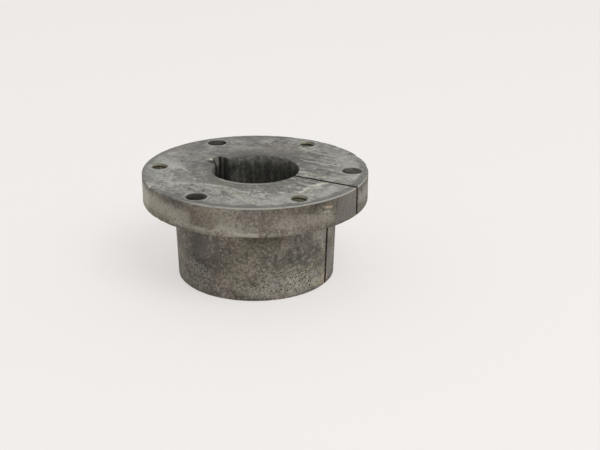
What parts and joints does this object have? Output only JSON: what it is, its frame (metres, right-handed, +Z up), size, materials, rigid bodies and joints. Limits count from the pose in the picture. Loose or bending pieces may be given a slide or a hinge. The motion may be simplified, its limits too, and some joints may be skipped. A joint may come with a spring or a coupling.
{
  "type": "quick disconnect bushing",
  "caption": "Split flanged bushing with a tapered barrel, a keyed bore, plain bolt holes and tapped jacking holes in its flange.",
  "frame": {"origin": "centre of the barrel's small end, on the bore's axis", "axes": "+Z up the bore from the small end to the flange, +X through the saw cut"},
  "size_m": [0.0984, 0.0984, 0.0476],
  "materials": {
    "dark_oxide_iron": "dull dark oxide with oil stains and scratches"
  },
  "bodies": {
    "root": {"bushing": "dark_oxide_iron"}
  },
  "joints": []
}
